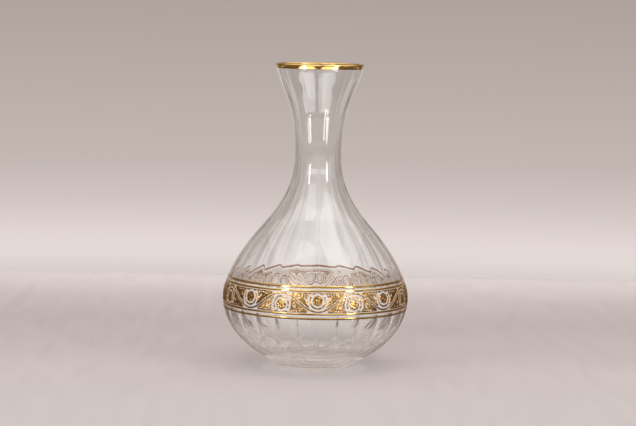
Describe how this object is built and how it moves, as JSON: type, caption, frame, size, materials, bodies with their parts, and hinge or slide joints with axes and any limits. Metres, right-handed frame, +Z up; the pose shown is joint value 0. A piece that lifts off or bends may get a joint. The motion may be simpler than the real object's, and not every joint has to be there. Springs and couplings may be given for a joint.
{
  "type": "carafe",
  "caption": "Clear glass carafe with a wide ribbed belly, slim neck and flared mouth, gold on the lip and a gilded scrollwork frieze round the belly.",
  "frame": {"origin": "centre of the flat face that the carafe stands on", "axes": "+Z up along the axis of the vessel, -Y to the front, where a high roundel of the frieze is"},
  "size_m": [0.1566, 0.1566, 0.255],
  "materials": {
    "glass": "clear, fire-polished",
    "gilding": "polished fired gold"
  },
  "bodies": {
    "root": {"glass_body": "glass", "rim_gilding": "gilding", "frieze_line_upper": "gilding", "frieze_line_lower": "gilding", "frieze_border_upper": "gilding", "frieze_border_lower": "gilding", "frieze_stem": "gilding", "frieze_rosette_01": "gilding", "frieze_rosette_02": "gilding", "frieze_rosette_03": "gilding", "frieze_rosette_04": "gilding", "frieze_rosette_05": "gilding", "frieze_rosette_06": "gilding", "frieze_rosette_07": "gilding", "frieze_rosette_08": "gilding", "frieze_rosette_09": "gilding", "frieze_rosette_10": "gilding", "frieze_rosette_11": "gilding", "frieze_rosette_12": "gilding", "frieze_rosette_13": "gilding", "frieze_rosette_14": "gilding", "frieze_rosette_15": "gilding", "frieze_rosette_16": "gilding", "frieze_scroll_01": "gilding", "frieze_scroll_02": "gilding", "frieze_scroll_03": "gilding", "frieze_scroll_04": "gilding", "frieze_scroll_05": "gilding", "frieze_scroll_06": "gilding", "frieze_scroll_07": "gilding", "frieze_scroll_08": "gilding", "frieze_scroll_09": "gilding", "frieze_scroll_10": "gilding", "frieze_scroll_11": "gilding", "frieze_scroll_12": "gilding", "frieze_scroll_13": "gilding", "frieze_scroll_14": "gilding", "frieze_scroll_15": "gilding", "frieze_scroll_16": "gilding", "frieze_ground_01": "gilding", "frieze_ground_02": "gilding", "frieze_ground_03": "gilding", "frieze_ground_04": "gilding", "frieze_ground_05": "gilding", "frieze_ground_06": "gilding", "frieze_ground_07": "gilding", "frieze_ground_08": "gilding", "frieze_ground_09": "gilding", "frieze_ground_10": "gilding", "frieze_ground_11": "gilding", "frieze_ground_12": "gilding", "frieze_ground_13": "gilding", "frieze_ground_14": "gilding", "frieze_ground_15": "gilding", "frieze_ground_16": "gilding"}
  },
  "joints": []
}
